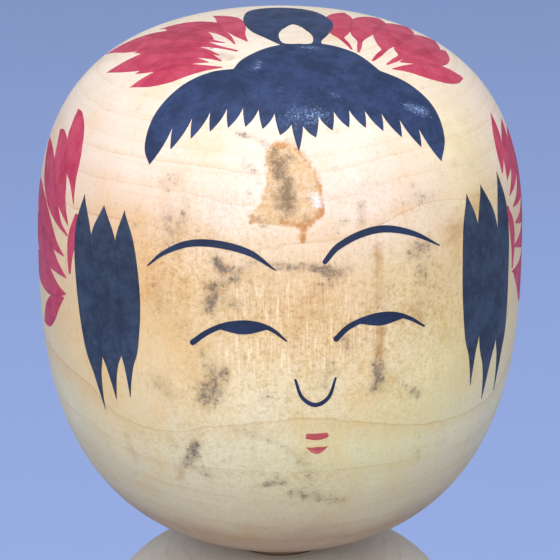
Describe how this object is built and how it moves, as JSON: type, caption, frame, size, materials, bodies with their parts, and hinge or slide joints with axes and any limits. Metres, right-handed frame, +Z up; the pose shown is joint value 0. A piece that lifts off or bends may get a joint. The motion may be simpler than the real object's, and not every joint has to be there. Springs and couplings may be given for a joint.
{
  "type": "kokeshi doll",
  "caption": "Turned wooden doll with a round head that swivels on a waisted cylindrical body, standing on a flat base.",
  "frame": {"origin": "centre of the flat underside that the doll stands on", "axes": "+Z up along the doll's own axis, the face looks along -Y, +X is to the viewer's right when facing the doll"},
  "size_m": [0.074, 0.074, 0.242],
  "materials": {
    "pale_wood": "bare turned wood, waxed and aged, with stains",
    "black_ink": "black ink brushed on wood, waxed, scuffed",
    "red_ink": "translucent crimson dye brushed on wood, waxed",
    "green_ink": "translucent green dye brushed on wood, waxed"
  },
  "bodies": {
    "body": {"body": "pale_wood"},
    "head": {"head": "pale_wood"}
  },
  "joints": [
    {"name": "head_swivel", "type": "hinge", "parent": "body", "child": "head", "pos_m": [0, 0, 0.158], "axis": [0, 0, 1], "continuous": true}
  ]
}
